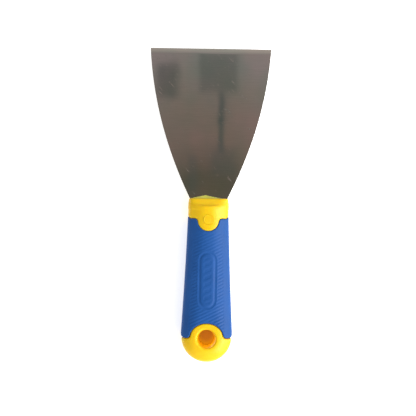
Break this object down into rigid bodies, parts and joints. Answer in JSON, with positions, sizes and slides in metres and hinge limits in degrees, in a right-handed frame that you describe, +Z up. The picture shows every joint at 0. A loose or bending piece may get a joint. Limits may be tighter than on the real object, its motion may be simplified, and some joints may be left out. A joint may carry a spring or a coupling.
{
  "type": "drywall taping knife",
  "caption": "Hand taping knife: thin flared steel blade with a straight ground edge, yellow plastic handle with a ribbed blue rubber sleeve and a round hang hole.",
  "frame": {"origin": "middle of the knife's footprint on the table, at table height", "axes": "+X to the right across the blade, +Y along the knife from the butt to the working edge, +Z up; the knife lies flat on one face of its handle"},
  "size_m": [0.0762, 0.1974, 0.0176],
  "materials": {
    "blade_steel": "polished spring steel with fine grinding lines",
    "yellow_plastic": "smooth, half gloss",
    "blue_rubber": "matt, with fine diagonal ribs",
    "rivet_steel": "plain"
  },
  "bodies": {
    "root": {"blade": "blade_steel", "handle_core": "yellow_plastic", "grip_sleeve": "blue_rubber", "front_tang_rivet": "rivet_steel", "rear_tang_rivet": "rivet_steel", "top_roundel": "yellow_plastic", "underside_roundel": "yellow_plastic"}
  },
  "joints": []
}
